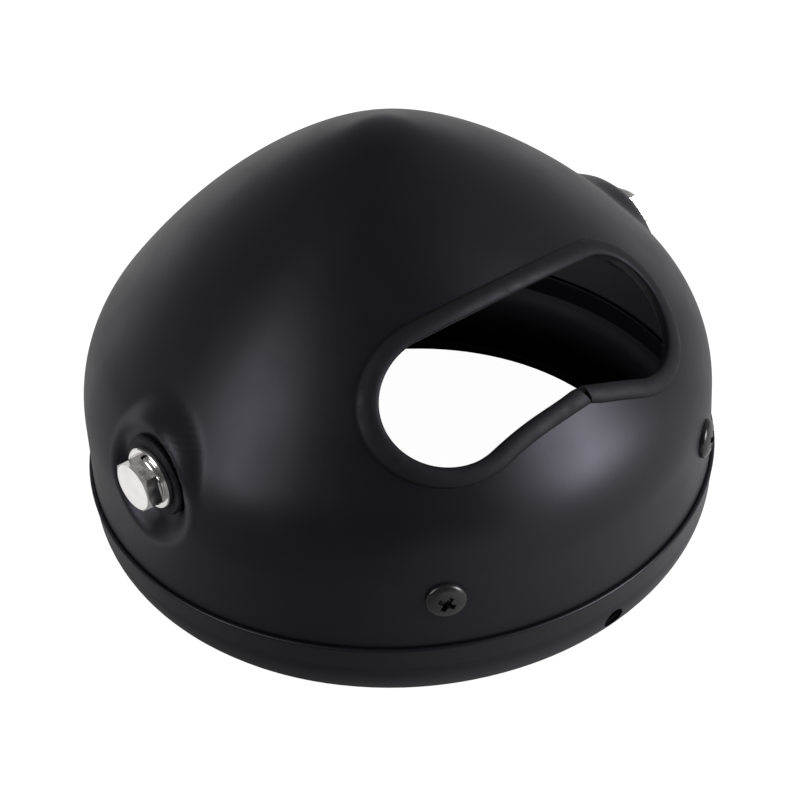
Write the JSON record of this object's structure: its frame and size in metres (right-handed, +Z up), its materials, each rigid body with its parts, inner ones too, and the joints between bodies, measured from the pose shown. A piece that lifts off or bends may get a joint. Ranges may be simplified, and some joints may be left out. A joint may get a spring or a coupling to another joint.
{
  "type": "headlight bucket",
  "caption": "Matte black motorbike headlight bucket with a pointed dome, trim ring, rubber-edged cable opening and bright side bolts.",
  "frame": {"origin": "centre of the mouth on the plane that the trim ring's lip rests on", "axes": "+Z up the dome's axis, +X along the side bolts, -Y towards the cable opening"},
  "size_m": [0.1702, 0.1674, 0.1209],
  "materials": {
    "black_paint": "satin",
    "black_rubber": "matte",
    "bright_plating": "polished",
    "black_steel": "satin",
    "plain_steel": "satin"
  },
  "bodies": {
    "root": {"bucket_shell": "black_paint", "trim_ring": "black_paint", "edge_trim": "black_rubber", "mount_bolt_left": "bright_plating", "mount_bolt_right": "bright_plating", "lock_washer_left": "bright_plating", "lock_washer_right": "bright_plating", "flat_washer_left": "bright_plating", "flat_washer_right": "bright_plating", "rubber_washer_left": "black_rubber", "rubber_washer_right": "black_rubber", "weld_nut_left": "plain_steel", "weld_nut_right": "plain_steel", "cross_screw_left": "black_steel", "cross_screw_right": "black_steel", "screw_nut_left": "plain_steel", "screw_nut_right": "plain_steel"}
  },
  "joints": []
}
